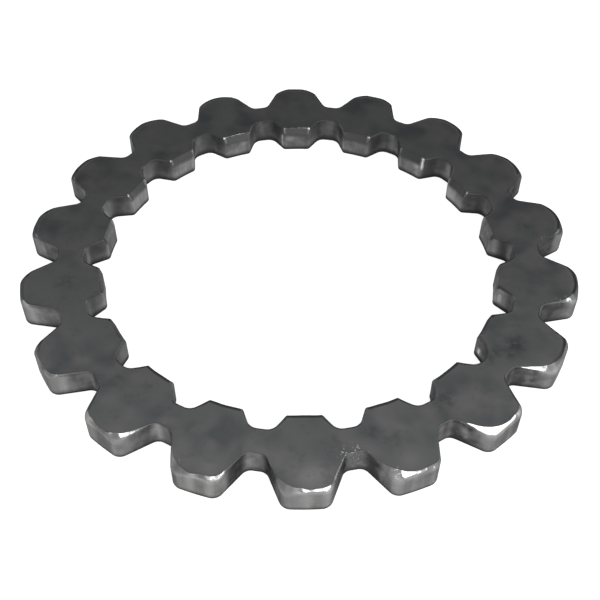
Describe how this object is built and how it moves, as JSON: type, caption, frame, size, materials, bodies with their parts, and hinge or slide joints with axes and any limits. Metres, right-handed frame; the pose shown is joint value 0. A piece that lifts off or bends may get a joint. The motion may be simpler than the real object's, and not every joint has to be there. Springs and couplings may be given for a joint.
{
  "type": "toothed washer",
  "caption": "Thick flat toothed washer: a dark steel ring with rounded lobes around its rim and matching flat-tipped teeth inside its wide hole.",
  "frame": {"origin": "centre of the washer's lower face, on the axis of the ring", "axes": "+Z along the axis of the ring, out of the face whose edge is rolled down; one outer lobe points along -Y and one along +Y"},
  "size_m": [0.0912, 0.092, 0.0048],
  "materials": {
    "dark_steel": "dark oiled steel, satin, a little blotchy, with bright worn edges"
  },
  "bodies": {
    "root": {"washer": "dark_steel"}
  },
  "joints": []
}
